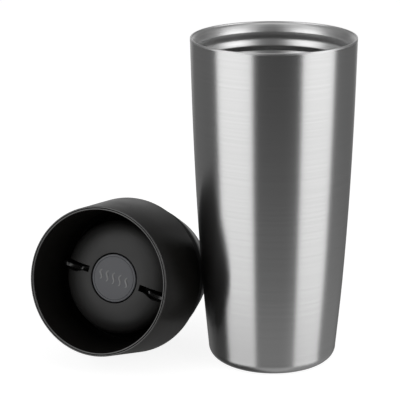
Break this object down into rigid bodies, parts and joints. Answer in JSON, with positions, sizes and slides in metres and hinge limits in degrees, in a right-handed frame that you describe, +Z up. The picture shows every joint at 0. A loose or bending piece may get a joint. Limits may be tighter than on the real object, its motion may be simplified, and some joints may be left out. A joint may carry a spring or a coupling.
{
  "type": "insulated travel mug",
  "caption": "Tapered vacuum-walled steel travel mug standing open beside its black push-button lid, which lets drink out all round its rim.",
  "frame": {"origin": "centre of the mug's base, on the plane that it stands on", "axes": "+Z up along the mug's axis; the lid lies on the -X side, with its drinking rim facing mostly -Y"},
  "size_m": [0.165, 0.0944, 0.1675],
  "materials": {
    "brushed_steel": "brushed round the mug",
    "satin_steel": "satin",
    "glass_solder": "melted bead",
    "getter_metal": "sintered",
    "black_shell": "satin",
    "black_dome": "satin",
    "black_gloss": "glossy",
    "black_plug": "satin",
    "black_silicone": "soft matt",
    "white_bush": "low friction",
    "spring_steel": "drawn",
    "grey_button": "fine satin"
  },
  "bodies": {
    "mug": {"outer_wall": "brushed_steel", "inner_vessel": "satin_steel", "outer_bottom": "satin_steel", "vacuum_pellet": "glass_solder", "base_cap": "brushed_steel", "getter": "getter_metal"},
    "lid": {"lid_shell": "black_shell", "drinking_bowl": "black_shell", "lid_collar": "black_plug", "lid_seal": "black_silicone", "dome_cap": "black_dome", "hub": "black_gloss", "guide_bush": "white_bush", "stem_seal": "black_silicone", "cam_sleeve": "white_bush", "spring_seat": "spring_steel", "button_spring": "spring_steel"},
    "plunger": {"button": "grey_button", "button_face": "grey_button", "stem": "spring_steel", "cam_driver": "white_bush", "valve_plate": "black_plug", "valve_seal": "black_silicone", "valve_screw": "spring_steel"},
    "rotor": {"cam_rotor": "white_bush"}
  },
  "joints": [
    {"name": "lid_lift", "type": "slide", "parent": "mug", "child": "lid", "axis": [-0.6, 0, 0.8], "range_m": [0, 0.15]},
    {"name": "button_press", "type": "slide", "parent": "lid", "child": "plunger", "axis": [0.3881, 0.8926, -0.2292], "range_m": [0, 0.004], "stiffness_N_per_m": 600, "springref_m": -0.002, "deforming": ["button_spring"]},
    {"name": "cam_index", "type": "hinge", "parent": "plunger", "child": "rotor", "pos_m": [-0.07531, 0.00888, 0.03996], "axis": [0.3881, 0.8926, -0.2292], "range_deg": [0, 45]}
  ],
  "couplings": [
    {"joint": "cam_index", "follows": "button_press", "rad_per_m": 196.35}
  ]
}
